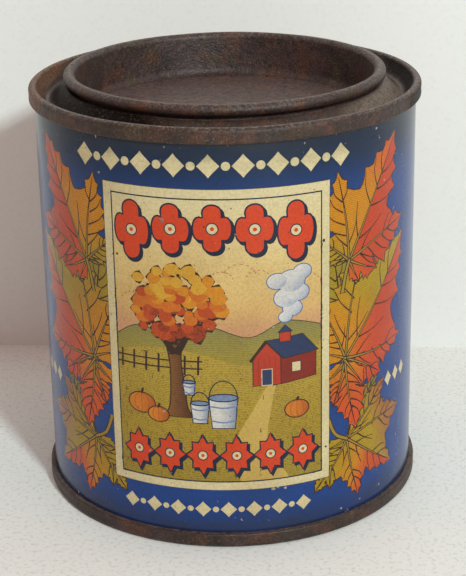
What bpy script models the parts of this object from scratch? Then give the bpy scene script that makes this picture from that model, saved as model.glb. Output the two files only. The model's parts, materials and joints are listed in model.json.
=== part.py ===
"""A one-pound tinplate can with a press-in lid: body, two seamed ends and the dished lid.

Each piece is a turned profile on the can's axis. Units are metres, +Z is up, the origin is
the middle of the base, and the front of the print faces -Y.
"""

import math

import bmesh
import bpy

MM = 0.001
SEGMENTS = 64

# Driving dimensions of the can
BODY_RADIUS = 38.0 * MM
SEAM_RADIUS = 39.08 * MM
SEAM_HEIGHT = 3.0 * MM
CAN_HEIGHT = 84.7 * MM
LID_HEIGHT = 87.15 * MM
LID_RADIUS = 32.07 * MM
WELL_DEPTH = 9.1 * MM
GAP = 0.3 * MM

# Sheet metal in the seams
WALL = 0.3 * MM
SHEET = 0.6 * MM
SEAM_INNER_RADIUS = SEAM_RADIUS - 1.7 * MM
SEAM_ROUND = 0.6 * MM
LIP_ROUND = 0.35 * MM
FOOT_ROUND = 0.6 * MM

# Slot inside each seam, which takes the edge of the body's wall
SLOT_OUTER = BODY_RADIUS + GAP
SLOT_INNER = BODY_RADIUS - WALL - GAP
SLOT_DEPTH = 1.3 * MM
TOP_SLOT_END = CAN_HEIGHT - SEAM_HEIGHT + SLOT_DEPTH
BASE_SLOT_END = SEAM_HEIGHT - SLOT_DEPTH
COUNTERSINK_RADIUS = SLOT_INNER - 0.45 * MM

# Top ring, whose wall slopes down behind the seam to a dip and which then rises to a shoulder
DIP_RADIUS = 35.3 * MM
DIP_HEIGHT = CAN_HEIGHT - 3.0 * MM
RING_SLOPE_FOOT = DIP_RADIUS + 0.7 * MM
RING_UNDERSIDE = DIP_HEIGHT - SHEET
SHOULDER_RADIUS = 31.45 * MM
SHOULDER_HEIGHT = CAN_HEIGHT - 0.3 * MM
SHOULDER_ROUND = 0.9 * MM
RISE_STEPS = 6

# Lid, a dished plug with a curled rim
WELL_RADIUS = 29.7 * MM
PLUG_RADIUS = WELL_RADIUS + 0.35 * MM
WELL_FLOOR_RADIUS = WELL_RADIUS - 0.3 * MM
WELL_FILLET = 1.5 * MM
CURL_RADIUS = (LID_RADIUS + WELL_RADIUS) / 2
CURL_HALF_HEIGHT = 1.12 * MM
CURL_UNDERSIDE = LID_HEIGHT - 2 * CURL_HALF_HEIGHT
CURL_FLAT_OUTER = CURL_RADIUS + 0.25 * MM
LID_SHEET = 0.5 * MM
BORE_RADIUS = PLUG_RADIUS + GAP

# Body and base
BODY_TOP = RING_UNDERSIDE - GAP
BASE_RECESS = 2.6 * MM
BASE_TOP = BASE_RECESS + SHEET
BODY_BOTTOM = BASE_TOP + GAP

# Print on the body
PANEL_BOTTOM = 12.2 * MM
PANEL_TOP = 73.1 * MM
PANEL_HALF_ANGLE = math.radians(33.5)

PRINT_BLUE = (0.014, 0.050, 0.190)
PANEL_CREAM = (0.745, 0.640, 0.366)
RUSTED_TINPLATE = (0.110, 0.065, 0.047)
WORN_TINPLATE = (0.150, 0.105, 0.085)


def clear_scene():
    for obj in list(bpy.data.objects):
        bpy.data.objects.remove(obj, do_unlink=True)


def material(name, colour, roughness, metallic):
    made = bpy.data.materials.new(name)
    made.use_nodes = True
    shader = made.node_tree.nodes["Principled BSDF"]
    shader.inputs["Base Color"].default_value = (*colour, 1.0)
    shader.inputs["Roughness"].default_value = roughness
    shader.inputs["Metallic"].default_value = metallic
    made.diffuse_color = (*colour, 1.0)
    return made


def arc(centre, radii, start, end, steps):
    """Points of an elliptical arc in the profile's (radius, height) plane, angles in degrees."""
    points = []
    for index in range(steps + 1):
        angle = math.radians(start + (end - start) * index / steps)
        radius = centre[0] + radii[0] * math.cos(angle)
        height = centre[1] + radii[1] * math.sin(angle)
        points.append((radius, height))
    return points


def turned(name, profile, finish, closed=False):
    """Turns a (radius, height) profile once round the Z axis and shades it smooth."""
    shape = bmesh.new()
    outline = [shape.verts.new((radius, 0.0, height)) for radius, height in profile]
    edges = [shape.edges.new(pair) for pair in zip(outline, outline[1:])]
    if closed:
        edges.append(shape.edges.new((outline[-1], outline[0])))
    bmesh.ops.spin(
        shape,
        geom=outline + edges,
        cent=(0.0, 0.0, 0.0),
        axis=(0.0, 0.0, 1.0),
        angle=math.tau,
        steps=SEGMENTS,
        use_merge=True,
    )
    bmesh.ops.remove_doubles(shape, verts=shape.verts, dist=0.01 * MM)
    bmesh.ops.recalc_face_normals(shape, faces=shape.faces)
    mesh = bpy.data.meshes.new(name)
    shape.to_mesh(mesh)
    shape.free()
    mesh.materials.append(finish)
    mesh.shade_smooth()
    mesh.set_sharp_from_angle(angle=math.radians(40))
    obj = bpy.data.objects.new(name, mesh)
    bpy.context.scene.collection.objects.link(obj)
    return obj


def seam_section(crest, outward):
    """The double seam's outer lip, crest and inner wall, from its free edge to the inner foot.

    crest is the height of the seam's far end and outward is +1 where that end points up. The
    points run from the lip round the crest to the wall behind it.
    """
    free_edge = crest - outward * SEAM_HEIGHT
    crest_side = crest - outward * SEAM_ROUND
    rounding = (SEAM_ROUND, outward * SEAM_ROUND)
    points = [(SLOT_OUTER, free_edge)]
    points += [(SEAM_RADIUS - LIP_ROUND, free_edge), (SEAM_RADIUS, free_edge + outward * LIP_ROUND)]
    points += arc((SEAM_RADIUS - SEAM_ROUND, crest_side), rounding, 0, 90, 5)
    points += arc((SEAM_INNER_RADIUS + SEAM_ROUND, crest_side), rounding, 90, 180, 5)
    return points


def build_body(finish, panel_finish):
    """The wall with its contents as one solid, with a pocket on top for the lid's plug.

    The wall's thin edge stands up into the top seam's slot and down into the base seam's.
    """
    pocket_floor = LID_HEIGHT - WELL_DEPTH - LID_SHEET - GAP
    inner = BODY_RADIUS - WALL
    profile = [
        (0.0, pocket_floor),
        (BORE_RADIUS, pocket_floor),
        (BORE_RADIUS, BODY_TOP),
        (inner, BODY_TOP),
        (inner, TOP_SLOT_END - GAP),
        (BODY_RADIUS, TOP_SLOT_END - GAP),
        (BODY_RADIUS, PANEL_TOP),
        (BODY_RADIUS, PANEL_BOTTOM),
        (BODY_RADIUS, BASE_SLOT_END + GAP),
        (inner, BASE_SLOT_END + GAP),
        (inner, BODY_BOTTOM),
        (0.0, BODY_BOTTOM),
    ]
    body = turned("tin_body", profile, finish)
    body.data.materials.append(panel_finish)
    for face in body.data.polygons:
        centre = face.center
        bearing = math.atan2(centre.x, abs(centre.y))
        on_wall = math.hypot(centre.x, centre.y) > BODY_RADIUS - WALL
        if on_wall and PANEL_BOTTOM < centre.z < PANEL_TOP and abs(bearing) < PANEL_HALF_ANGLE:
            face.material_index = 1
    return body


def build_base(finish):
    """The bottom end: its seam is the foot that the can stands on, and its panel is recessed."""
    profile = [(0.0, BASE_TOP), (SLOT_INNER, BASE_TOP), (SLOT_INNER, BASE_SLOT_END)]
    profile += [(SLOT_OUTER, BASE_SLOT_END)]
    profile += seam_section(0.0, -1)
    foot_centre = (COUNTERSINK_RADIUS - FOOT_ROUND, BASE_RECESS - FOOT_ROUND)
    profile += arc(foot_centre, (FOOT_ROUND, FOOT_ROUND), 0, 90, 3)
    profile += [(0.0, BASE_RECESS)]
    return turned("bottom_end", profile, finish)


def build_ring(finish):
    """The top ring, seamed to the body and open in the middle for the lid."""
    profile = [(SLOT_OUTER, TOP_SLOT_END)]
    profile += seam_section(CAN_HEIGHT, 1)
    dip_centre = (DIP_RADIUS, DIP_HEIGHT + FOOT_ROUND)
    profile += arc(dip_centre, (RING_SLOPE_FOOT - DIP_RADIUS, FOOT_ROUND), -30, -90, 3)
    for index in range(1, RISE_STEPS):
        part = index / RISE_STEPS
        ease = part * part * (3 - 2 * part)
        radius = DIP_RADIUS + (SHOULDER_RADIUS - DIP_RADIUS) * part
        profile.append((radius, DIP_HEIGHT + (SHOULDER_HEIGHT - DIP_HEIGHT) * ease))
    round_centre = (SHOULDER_RADIUS, SHOULDER_HEIGHT - SHOULDER_ROUND)
    profile += arc(round_centre, (SHOULDER_RADIUS - BORE_RADIUS, SHOULDER_ROUND), 90, 180, 5)
    profile += [(BORE_RADIUS, RING_UNDERSIDE), (SLOT_INNER, RING_UNDERSIDE), (SLOT_INNER, TOP_SLOT_END)]
    return turned("top_ring", profile, finish, closed=True)


def build_lid(finish):
    """The press-in lid: a deep flat-floored well inside a rolled rim that stands over the ring."""
    floor = LID_HEIGHT - WELL_DEPTH
    curl_height = LID_HEIGHT - CURL_HALF_HEIGHT
    profile = [(0.0, floor), (WELL_FLOOR_RADIUS - WELL_FILLET, floor)]
    fillet_centre = (WELL_FLOOR_RADIUS - WELL_FILLET, floor + WELL_FILLET)
    profile += arc(fillet_centre, (WELL_FILLET, WELL_FILLET), -60, 0, 2)
    inner_half = CURL_RADIUS - WELL_RADIUS
    profile += arc((CURL_RADIUS, curl_height), (inner_half, CURL_HALF_HEIGHT), 180, -60, 16)
    profile += [(CURL_FLAT_OUTER, CURL_UNDERSIDE), (PLUG_RADIUS, CURL_UNDERSIDE)]
    profile += [(PLUG_RADIUS, floor + LID_SHEET), (PLUG_RADIUS - WELL_FILLET, floor - LID_SHEET)]
    profile += [(0.0, floor - LID_SHEET)]
    return turned("lid", profile, finish)


def main():
    clear_scene()
    printed = material("printed_tinplate", PRINT_BLUE, 0.35, 0.0)
    panel = material("printed_panel", PANEL_CREAM, 0.38, 0.0)
    build_body(printed, panel)
    build_base(material("base_tinplate", WORN_TINPLATE, 0.6, 0.6))
    build_ring(material("ring_tinplate", RUSTED_TINPLATE, 0.6, 0.5))
    build_lid(material("lid_tinplate", RUSTED_TINPLATE, 0.55, 0.5))


main()
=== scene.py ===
"""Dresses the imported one-pound lever-lid tin: printed wall, rusted ends and dished lid.

The file is laid out as an add-on and is run as a script. The CAD nodes give the places and
the sizes, and every piece made here stands where its node stands. Lengths are metres, apart
from the flat print, which is laid out in millimetres on the sheet before it is rolled.
"""

import functools
import json
import math
import random

import bmesh
import bpy
import numpy as np
from mathutils import Matrix, Vector
from mathutils.geometry import delaunay_2d_cdt

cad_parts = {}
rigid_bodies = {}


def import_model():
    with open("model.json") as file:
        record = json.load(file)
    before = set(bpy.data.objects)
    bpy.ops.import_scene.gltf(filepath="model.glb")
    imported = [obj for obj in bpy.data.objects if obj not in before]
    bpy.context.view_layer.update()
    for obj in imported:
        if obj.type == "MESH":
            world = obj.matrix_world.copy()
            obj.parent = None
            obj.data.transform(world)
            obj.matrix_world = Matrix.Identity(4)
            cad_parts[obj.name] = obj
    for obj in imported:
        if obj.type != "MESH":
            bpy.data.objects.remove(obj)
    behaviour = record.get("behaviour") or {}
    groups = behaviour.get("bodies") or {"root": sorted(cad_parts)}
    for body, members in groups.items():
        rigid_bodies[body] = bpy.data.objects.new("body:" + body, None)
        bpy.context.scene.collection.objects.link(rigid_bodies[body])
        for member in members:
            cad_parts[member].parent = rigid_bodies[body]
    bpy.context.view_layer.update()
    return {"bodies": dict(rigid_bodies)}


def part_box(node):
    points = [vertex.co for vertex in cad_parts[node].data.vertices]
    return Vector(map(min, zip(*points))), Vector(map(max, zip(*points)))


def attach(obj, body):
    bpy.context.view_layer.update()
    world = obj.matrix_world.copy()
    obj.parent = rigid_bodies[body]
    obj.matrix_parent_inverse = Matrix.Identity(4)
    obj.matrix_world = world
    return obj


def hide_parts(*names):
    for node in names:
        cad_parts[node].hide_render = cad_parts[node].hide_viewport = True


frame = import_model()

bl_info = {
    "name": "Printed lever-lid tin",
    "version": (1, 0, 0),
    "blender": (4, 5, 0),
    "location": "View3D > Sidebar > Tin",
    "description": "Dresses a one-pound tin with its printed wall, seamed ends and dished lid",
    "category": "Object",
}

MM = 0.001
BODY = next(iter(frame["bodies"]))
RING_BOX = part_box("top_ring")
LID_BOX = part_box("lid")
WALL_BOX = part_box("tin_body")


def linear(hex_colour):
    """An sRGB hex colour as linear red, green and blue."""
    channels = [int(hex_colour[place : place + 2], 16) / 255 for place in (1, 3, 5)]
    return tuple(
        value / 12.92 if value <= 0.04045 else ((value + 0.055) / 1.055) ** 2.4
        for value in channels
    )


# Sizes and colours


def length(name, description, default):
    return bpy.props.FloatProperty(
        name=name, description=description, default=default, unit="LENGTH", precision=5
    )


def colour(name, description, hex_colour):
    return bpy.props.FloatVectorProperty(
        name=name, description=description, default=linear(hex_colour), subtype="COLOR", min=0, max=1
    )


class TinSizes(bpy.types.PropertyGroup):
    can_radius: length("Can radius", "Outside of the printed wall", 38.0 * MM)
    wall: length("Wall", "Thickness of the body's tinplate", 0.3 * MM)
    seam_radius: length("Seam radius", "Outside of the double seams, less the dents", 39.04 * MM)
    seam_height: length("Seam height", "Height of the double seams", 3.0 * MM)
    can_height: length("Can height", "Height over the top seam", RING_BOX[1][2])
    lid_height: length("Lid height", "Height over the rim, less the dents", LID_BOX[1][2] - 0.04 * MM)
    lid_radius: length("Lid radius", "Outside of the lid's curled rim", LID_BOX[1][0])
    well_depth: length("Well depth", "From the lid's rim to its floor", 9.1 * MM)
    dent: length("Dent", "How far handling has pushed the ends out of true", 0.10 * MM)
    segments: bpy.props.IntProperty(
        name="Segments", description="Faces round a turned piece", default=208, min=32
    )


class TinColours(bpy.types.PropertyGroup):
    blue: colour("Blue", "Ground of the print", "#0E4392")
    cream: colour("Cream", "Frame, sky and small ornaments", "#E6DCAC")
    vermilion: colour("Vermilion", "Large ornaments", "#E0481A")
    navy: colour("Navy", "Shadows and key lines of the print", "#16213F")
    ochre: colour("Ochre", "Field in the picture", "#BCA331")
    leaf_orange: colour("Leaf orange", "Leaves near the panel", "#DE9600")
    leaf_red: colour("Leaf red", "Leaves at the sides", "#DA4A1C")
    leaf_olive: colour("Leaf olive", "Bases of leaves and small leaves", "#BEA206")
    rust: colour("Rust", "Rust over the ends", "#38271F")
    lid_rust: colour("Lid rust", "Thinner, more purple rust over the lid", "#44322F")
    old_tin: colour("Old tin", "Worn bare tinplate", "#8C8076")
    table: colour("Table", "Speckled white table", "#EEEEEA")
    backdrop: colour("Backdrop", "Card behind the tin", "#E7E6E3")


# Nodes


def node(tree, kind, inputs=None, stops=(), **settings):
    """Adds a node with its settings, inputs and colour stops.

    An input goes by its name, or by its place where names repeat. Its value is a number, a
    colour, or a node or socket to link from, and a node stands for its first socket in use.
    """
    made = tree.nodes.new(kind)
    for name, value in settings.items():
        setattr(made, name, value)
    for key, value in (inputs or {}).items():
        if isinstance(key, int):
            socket = made.inputs[key]
        else:
            socket = next(s for s in made.inputs if s.enabled and s.name == key)
        if isinstance(value, bpy.types.Node):
            value = next(s for s in value.outputs if s.enabled)
        if isinstance(value, bpy.types.NodeSocket):
            tree.links.new(value, socket)
        elif socket.type == "RGBA":
            socket.default_value = (*tuple(value)[:3], 1.0)
        else:
            socket.default_value = value
    for number, (place, tint) in enumerate(stops):
        elements = made.color_ramp.elements
        element = elements[number] if number < 2 else elements.new(place)
        element.position = place
        element.color = (*tint, 1.0)
    return made


def new_finish(name):
    """A new material, its tree and its shader's inputs."""
    made = bpy.data.materials.new(name)
    made.use_nodes = True
    return made, made.node_tree, made.node_tree.nodes["Principled BSDF"]


def millimetres(tree, stretch=(1, 1, 1), shift=0.0):
    """The piece's own coordinates in millimetres, stretched where a pattern is finer one way."""
    own = node(tree, "ShaderNodeTexCoord").outputs["Object"]
    scale = tuple(1000 * share for share in stretch)
    return node(
        tree, "ShaderNodeMapping", {"Vector": own, "Scale": scale, "Location": (shift, shift / 2, 0)}
    )


def blotches(tree, where, size_mm, low, high, strength=1.0, detail=3.0):
    """Uneven blotches about size_mm across: 0 where the lumps are under low, strength over high."""
    lumps = node(tree, "ShaderNodeTexNoise", {"Vector": where, "Scale": 1 / size_mm, "Detail": detail})
    limits = {"Value": lumps, "From Min": low, "From Max": high, "To Max": strength}
    return node(tree, "ShaderNodeMapRange", limits)


def painted(tree, ground, coats):
    """A ground colour under coats, each (share, colour, blend)."""
    for share, tint, blend in coats:
        inputs = {"Factor": share, "A": ground, "B": tint}
        ground = node(tree, "ShaderNodeMix", inputs, data_type="RGBA", blend_type=blend)
    return ground


# Finishes

RULE_PITCH = 0.36
STIPPLE_PITCH = 0.42


def lithographed_tinplate(colours):
    """Oil inks litho-printed on tinplate under a worn oven varnish.

    The inks lie flat. Fine wavy rules and dots shade them, the varnish gives the sides their
    pale sheen, and small chips along the seams show dull tin and rust.
    """
    made, tree, shader = new_finish("lithographed_tinplate")
    add = functools.partial(node, tree)
    sheet = add("ShaderNodeUVMap", uv_map="sheet")
    own = millimetres(tree)
    ink = add("ShaderNodeAttribute", attribute_name="ink")
    litho = add("ShaderNodeAttribute", attribute_name="litho")
    part = add("ShaderNodeSeparateColor", {"Color": litho}).outputs

    # Engraver's rules, which waver by a few tenths of a millimetre
    waver = {"Vector": sheet, "Scale": math.tau / 20 / RULE_PITCH, "Distortion": 2.6, "Detail": 1.0}
    rules = add("ShaderNodeTexWave", {**waver, "Detail Scale": 0.35}, bands_direction="Y")
    ruled = add("ShaderNodeMath", {0: rules, 1: part["Red"]}, operation="ADD")
    ruled = add("ShaderNodeMapRange", {"Value": ruled, "From Min": 1.0, "From Max": 1.4})
    cells = add("ShaderNodeTexVoronoi", {"Vector": sheet, "Scale": 1 / STIPPLE_PITCH})
    size = add("ShaderNodeMath", {0: part["Green"], 1: 0.62}, operation="MULTIPLY")
    dotted = add("ShaderNodeMath", {0: size, 1: cells}, operation="SUBTRACT")
    dotted = add("ShaderNodeMapRange", {"Value": dotted, "From Max": 0.14})
    shading = add("ShaderNodeMath", {0: ruled, 1: dotted}, operation="MAXIMUM")
    shading = add("ShaderNodeMath", {0: shading, 1: 0.75}, operation="MULTIPLY")

    # Grime gathers under the top seam and above the foot
    height = add("ShaderNodeSeparateXYZ", {"Vector": own}).outputs["Z"]
    low = add("ShaderNodeMapRange", {"Value": height, "From Min": 8.0, "From Max": 2.6})
    high = add("ShaderNodeMapRange", {"Value": height, "From Min": 76.0, "From Max": 82.0})
    edge = add("ShaderNodeMath", {0: low, 1: high}, operation="MAXIMUM")
    smear = blotches(tree, millimetres(tree, (0.12, 0.12, 0.42)), 1.0, 0.35, 0.62, 0.6, 4.0)
    grime = add("ShaderNodeMath", {0: edge, 1: smear}, operation="MULTIPLY")

    # Chips down to the tin, commoner along the seams
    lumps = add("ShaderNodeTexNoise", {"Vector": own, "Scale": 1 / 1.25, "Detail": 3.0})
    flakes = add("ShaderNodeMath", {0: edge, 1: 0.05, 2: lumps}, operation="MULTIPLY_ADD")
    chipped = add("ShaderNodeMapRange", {"Value": flakes, "From Min": 0.735, "From Max": 0.75})
    bared = add("ShaderNodeMath", {0: chipped, 1: part["Blue"]}, operation="MAXIMUM")
    tints = [(0.30, linear("#5B4536")), (0.50, linear("#8F8478")), (0.68, linear("#B7B0A6"))]
    shades = add("ShaderNodeTexNoise", {"Vector": own, "Scale": 1 / 0.9, "Detail": 4.0})
    tin = add("ShaderNodeValToRGB", {"Fac": shades}, stops=tints)

    shade = painted(
        tree,
        ink,
        [
            (shading, (0.36, 0.30, 0.26), "MULTIPLY"),
            (1.0, (0.74, 0.68, 0.66), "MULTIPLY"),
            # The varnish has browned in clouds
            (blotches(tree, own, 14.0, 0.48, 0.75, 0.38, 4.0), (0.62, 0.50, 0.36), "MULTIPLY"),
            (blotches(tree, own, 0.42, 0.40, 0.72, 0.42, 2.0), (0.50, 0.47, 0.44), "MULTIPLY"),
            (grime, linear("#23262B"), "MIX"),
            (blotches(tree, own, 0.75, 0.745, 0.775, 0.8, 2.0), linear("#2B1D14"), "MIX"),
            (bared, tin, "MIX"),
        ],
    )
    tree.links.new(shade.outputs[2], shader.inputs["Base Color"])
    metal = add("ShaderNodeMath", {0: bared, 1: 0.75}, operation="MULTIPLY")
    tree.links.new(metal.outputs["Value"], shader.inputs["Metallic"])
    shader.inputs["Roughness"].default_value = 0.45
    shader.inputs["IOR"].default_value = 1.5
    shader.inputs["Specular IOR Level"].default_value = 0.0
    shader.inputs["Coat Weight"].default_value = 1.0
    shader.inputs["Coat IOR"].default_value = 1.40
    shader.inputs["Coat Roughness"].default_value = 0.20
    # Rolled sheet is never quite true: long shallow dents under the fine skin of the varnish
    dents = add("ShaderNodeTexNoise", {"Vector": own, "Scale": 1 / 26.0, "Detail": 1.0})
    skin = add("ShaderNodeTexNoise", {"Vector": own, "Scale": 1 / 0.55, "Detail": 2.0})
    relief = add("ShaderNodeMath", {0: dents, 1: 44.0, 2: skin}, operation="MULTIPLY_ADD")
    bump = add("ShaderNodeBump", {"Height": relief, "Distance": 0.02 * MM, "Strength": 0.5})
    tree.links.new(bump.outputs["Normal"], shader.inputs["Normal"])
    tree.links.new(bump.outputs["Normal"], shader.inputs["Coat Normal"])
    return made


def painted_light_patch(tree, toward, reach, radius, height, strength):
    """Where one side of a turned piece is painted lighter or darker, up to strength.

    toward is the side's direction, reach how far out along it the patch starts and is full, and
    radius and height the same from the can's axis and from the table, all in millimetres.
    """
    own = millimetres(tree)
    out = node(tree, "ShaderNodeVectorMath", {0: own, 1: (*toward, 0)}, operation="DOT_PRODUCT")
    flat = millimetres(tree, (1, 1, 0))
    axial = node(tree, "ShaderNodeVectorMath", {0: flat}, operation="LENGTH")
    level = node(tree, "ShaderNodeSeparateXYZ", {"Vector": own}).outputs["Z"]
    share = strength
    for value, limits in ((out, reach), (axial, radius), (level, height)):
        window = {"Value": value, "From Min": limits[0], "From Max": limits[1]}
        window = node(tree, "ShaderNodeMapRange", window)
        share = node(tree, "ShaderNodeMath", {0: window, 1: share}, operation="MULTIPLY")
    return share


def rusted_tinplate(name, rust, bright, crest, shift=0.0, metallic=0.15, rub=0.55, painted_light_patches=()):
    """Stamped tinplate that has lost its tin to rust, as old tins do on a damp shelf.

    It looks dull and gritty, dark brown with cloudy purple, orange and olive patches and black
    pits. What faces up is paler, partly as it is dusty and partly as painted light from above, and
    the crest, where hands and shelves have polished it, is rubbed paler. crest is the height in
    millimetres where the rubbing starts and the height where it is full, and the local patches,
    each a colour and the place of its mask, are painted light and painted shade, one of them
    also rust.
    """
    made, tree, shader = new_finish(name)
    add = functools.partial(node, tree)
    own = millimetres(tree, shift=shift)
    purple, orange, olive = (millimetres(tree, shift=shift + apart) for apart in (40, 90, 140))
    height = add("ShaderNodeSeparateXYZ", {"Vector": millimetres(tree)}).outputs["Z"]
    rising = add("ShaderNodeMapRange", {"Value": height, "From Min": crest[0], "From Max": crest[1]})
    worn = blotches(tree, own, 0.55, 0.52, 0.62, rub, 3.0)
    rubbed = add("ShaderNodeMath", {0: rising, 1: worn}, operation="MULTIPLY")
    # Faces that point straight up are painted paler in blotches: partly dusty ground, partly painted light
    # from above
    facing = add("ShaderNodeSeparateXYZ", {"Vector": add("ShaderNodeNewGeometry").outputs["Normal"]})
    upward = {"Value": facing.outputs["Z"], "From Min": 0.90, "From Max": 1.0}
    facing_up_blotches = {0: add("ShaderNodeMapRange", upward), 1: blotches(tree, own, 0.7, 0.25, 0.70, 0.75, 5.0)}
    dust_and_top_light = add("ShaderNodeMath", facing_up_blotches, operation="MULTIPLY")
    coats = [
        (blotches(tree, own, 8.0, 0.46, 0.62, 0.6, 5.0), linear("#281A15"), "MIX"),
        (blotches(tree, purple, 6.0, 0.48, 0.66, 0.5), linear("#4A3537"), "MIX"),
        (blotches(tree, orange, 5.0, 0.50, 0.68, 0.60, 5.0), linear("#673A22"), "MIX"),
        (blotches(tree, olive, 4.0, 0.54, 0.70, 0.55, 5.0), linear("#51452A"), "MIX"),
        (dust_and_top_light, linear("#86706B"), "MIX"),
    ]
    # The patches of painted light and painted shade are matt as well as coloured
    painted_light_share = 0.0
    for tint, *place in painted_light_patches:
        share = painted_light_patch(tree, *place)
        coats.append((share, tint, "MIX"))
        painted_light_share = add("ShaderNodeMath", {0: share, 1: painted_light_share}, operation="ADD")
    if painted_light_patches:
        shine = add("ShaderNodeMapRange", {"Value": painted_light_share, "To Min": 0.5, "To Max": 0.04})
        tree.links.new(shine.outputs["Result"], shader.inputs["Specular IOR Level"])
    coats += [
        (blotches(tree, own, 1.3, 0.48, 0.32, 0.55, 4.0), linear("#17100D"), "MIX"),
        (blotches(tree, own, 0.34, 0.54, 0.36, 0.65, 2.0), linear("#140D0A"), "MIX"),
        (blotches(tree, own, 0.38, 0.60, 0.70, 0.45, 2.0), linear("#85604A"), "MIX"),
        (rubbed, bright, "MIX"),
    ]
    tree.links.new(painted(tree, rust, coats).outputs[2], shader.inputs["Base Color"])
    shader.inputs["Metallic"].default_value = metallic
    rough = add("ShaderNodeMapRange", {"Value": rubbed, "To Min": 0.52, "To Max": 0.42})
    tree.links.new(rough.outputs["Result"], shader.inputs["Roughness"])
    grain = add("ShaderNodeTexNoise", {"Vector": own, "Scale": 1 / 0.38, "Detail": 3.0})
    lumps = add("ShaderNodeTexNoise", {"Vector": own, "Scale": 1 / 1.4, "Detail": 3.0})
    relief = add("ShaderNodeMath", {0: lumps, 1: 1.6, 2: grain}, operation="MULTIPLY_ADD")
    bump = add("ShaderNodeBump", {"Height": relief, "Distance": 0.15 * MM, "Strength": 0.8})
    tree.links.new(bump.outputs["Normal"], shader.inputs["Normal"])
    return made


# Geometry Nodes


def new_tree(name, sockets):
    """A Geometry Nodes tree with Geometry in and out and the named inputs, each (name, type)."""
    tree = bpy.data.node_groups.new(name, "GeometryNodeTree")
    tree.interface.new_socket(name="Geometry", in_out="OUTPUT", socket_type="NodeSocketGeometry")
    tree.interface.new_socket(name="Geometry", in_out="INPUT", socket_type="NodeSocketGeometry")
    for title, kind in sockets:
        tree.interface.new_socket(name=title, in_out="INPUT", socket_type="NodeSocket" + kind)
    return tree, node(tree, "NodeGroupInput").outputs


def end_tree(tree, geometry, finish):
    """Ends a tree in Realize Instances and Set Material."""
    real = node(tree, "GeometryNodeRealizeInstances", {"Geometry": geometry})
    finished = node(tree, "GeometryNodeSetMaterial", {"Geometry": real, "Material": finish})
    node(tree, "NodeGroupOutput", {"Geometry": finished})


def shaped_by(obj, tree, values):
    """obj with its mesh replaced by what the tree makes of it, with no modifier left on it."""
    modifier = obj.modifiers.new(tree.name, "NODES")
    modifier.node_group = tree
    for item in tree.interface.items_tree:
        if item.in_out == "INPUT" and item.name in values:
            modifier[item.identifier] = values[item.name]
    graph = bpy.context.evaluated_depsgraph_get()
    mesh = bpy.data.meshes.new_from_object(
        obj.evaluated_get(graph), preserve_all_data_layers=True, depsgraph=graph
    )
    obj.modifiers.remove(modifier)
    if not len(mesh.polygons):
        raise RuntimeError(f"{tree.name} made no faces for {obj.name}")
    old = obj.data
    obj.data = mesh
    bpy.data.meshes.remove(old)
    mesh.name = obj.name
    return obj


def turning_tree():
    """Sweeps a (radius, height) profile once round the can's axis and pushes it out of true."""
    sockets = [("Segments", "Int"), ("Path radius", "Float"), ("Dent", "Float")]
    sockets += [("Dent size", "Float"), ("Seed", "Int"), ("Finish", "Material")]
    tree, given = new_tree("Turn a profile", sockets)
    add = functools.partial(node, tree)
    profile = add("GeometryNodeMeshToCurve", {"Mesh": given["Geometry"]})
    circle = {"Resolution": given["Segments"], "Radius": given["Path radius"]}
    path = add("GeometryNodeCurvePrimitiveCircle", circle)
    swept = add("GeometryNodeCurveToMesh", {"Curve": path, "Profile Curve": profile})
    closed = add("GeometryNodeMergeByDistance", {"Geometry": swept, "Distance": 0.002 * MM})
    often = add("ShaderNodeMath", {0: 1.0, 1: given["Dent size"]}, operation="DIVIDE")
    lumps = {"Vector": add("GeometryNodeInputPosition"), "W": given["Seed"], "Scale": often, "Detail": 1.0}
    noise = add("ShaderNodeTexNoise", lumps, noise_dimensions="4D").outputs["Color"]
    centred = add("ShaderNodeVectorMath", {0: noise, 1: (0.5, 0.5, 0.5)}, operation="SUBTRACT")
    push = add("ShaderNodeVectorMath", {0: centred, "Scale": given["Dent"]}, operation="SCALE")
    end_tree(tree, add("GeometryNodeSetPosition", {"Geometry": closed, "Offset": push}), given["Finish"])
    return tree


def rolling_tree():
    """Rolls a flat sheet, laid out in X and Z with its depth in Y, round the can's axis."""
    sockets = [("Can radius", "Float"), ("Turn", "Float"), ("Finish", "Material")]
    tree, given = new_tree("Roll a sheet", sockets)
    add = functools.partial(node, tree)
    flat = add("ShaderNodeSeparateXYZ", {"Vector": add("GeometryNodeInputPosition")}).outputs
    ahead = add("ShaderNodeMath", {0: flat["Y"], 1: given["Can radius"]}, operation="SUBTRACT")
    spot = add("ShaderNodeCombineXYZ", {"Y": ahead, "Z": flat["Z"]})
    bearing = add("ShaderNodeMath", {0: flat["X"], 1: given["Can radius"]}, operation="DIVIDE")
    bearing = add("ShaderNodeMath", {0: bearing, 1: given["Turn"]}, operation="ADD")
    rolled = add("ShaderNodeVectorRotate", {"Vector": spot, "Angle": bearing}, rotation_type="Z_AXIS")
    moved = add("GeometryNodeSetPosition", {"Geometry": given["Geometry"], "Position": rolled})
    end_tree(tree, moved, given["Finish"])
    return tree


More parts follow.
